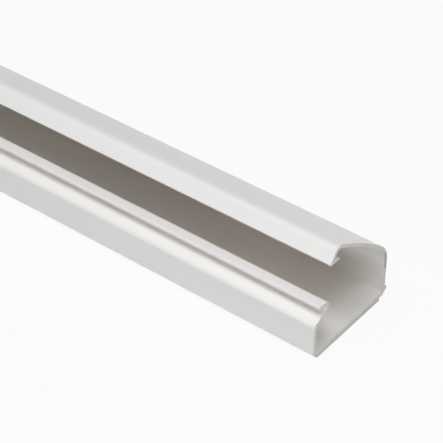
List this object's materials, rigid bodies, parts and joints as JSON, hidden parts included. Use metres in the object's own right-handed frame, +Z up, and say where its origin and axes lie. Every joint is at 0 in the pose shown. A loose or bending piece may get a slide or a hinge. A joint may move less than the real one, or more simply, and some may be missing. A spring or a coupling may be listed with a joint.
{
  "type": "cable raceway",
  "caption": "Straight length of white PVC cable raceway: a shallow channel on foam tape, with a domed cover that hinges along its rear wall and snaps over a ledge along its front.",
  "frame": {"origin": "under the middle of the length and of the full width, on the adhesive tape's lower face", "axes": "+X along the raceway's length, +Y from the latch side to the hinge side, +Z up from the wall surface that the raceway sticks to"},
  "size_m": [0.4, 0.0269, 0.0259],
  "materials": {
    "rigid_pvc": "satin",
    "soft_pvc": "satin",
    "foam_tape": "matte"
  },
  "bodies": {
    "base": {"base_channel": "rigid_pvc", "adhesive_tape": "foam_tape"},
    "lid": {"cover": "rigid_pvc", "hinge_strip": "soft_pvc"}
  },
  "joints": [
    {"name": "cover_hinge", "type": "hinge", "parent": "base", "child": "lid", "pos_m": [0, 0.01275, 0.0083], "axis": [-1, 0, 0], "range_deg": [-28.5, 120], "stiffness_Nm_per_rad": 0.15}
  ]
}
